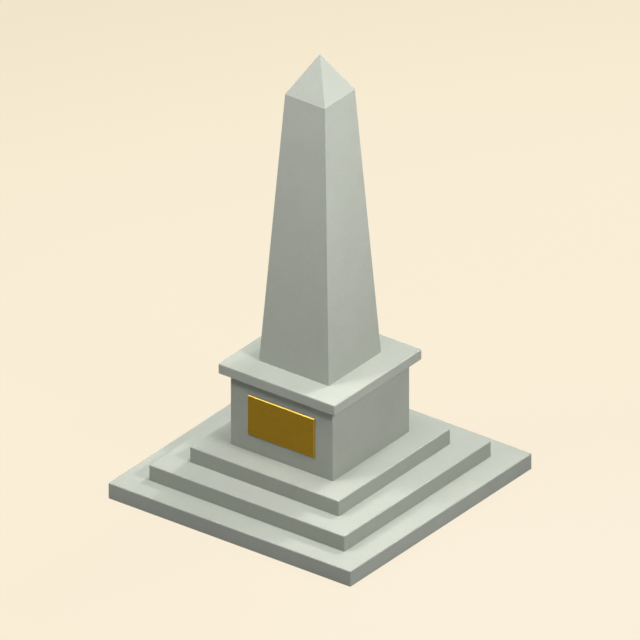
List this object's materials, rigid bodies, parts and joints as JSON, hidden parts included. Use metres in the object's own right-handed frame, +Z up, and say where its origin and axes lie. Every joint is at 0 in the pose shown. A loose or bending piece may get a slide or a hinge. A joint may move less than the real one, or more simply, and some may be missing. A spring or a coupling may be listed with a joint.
{
  "type": "obelisk",
  "caption": "Stone obelisk on a stepped base: square pedestal with a cap slab, tapered shaft with a pyramid point, and a plain bronze plaque on the front.",
  "frame": {"origin": "on the ground, at the centre of the square plan", "axes": "+Z up the shaft, -Y out of the front face, which has the plaque, and +X to the right as seen from the front"},
  "size_m": [2.6, 2.6, 4.225],
  "materials": {
    "granite": "fine-axed, pale grey-green",
    "concrete": "cast against stone",
    "bronze": "satin, lacquered"
  },
  "bodies": {
    "root": {"lower_step_front_corner": "granite", "lower_step_front_middle": "granite", "lower_step_right_corner": "granite", "lower_step_right_middle": "granite", "lower_step_back_corner": "granite", "lower_step_back_middle": "granite", "lower_step_left_corner": "granite", "lower_step_left_middle": "granite", "middle_step_front": "granite", "middle_step_right": "granite", "middle_step_back": "granite", "middle_step_left": "granite", "upper_step_front": "granite", "upper_step_right": "granite", "upper_step_back": "granite", "upper_step_left": "granite", "lower_core": "concrete", "middle_core": "concrete", "upper_core": "concrete", "pedestal": "granite", "cap_slab": "granite", "shaft": "granite", "pyramidion": "granite", "plaque": "bronze"}
  },
  "joints": []
}
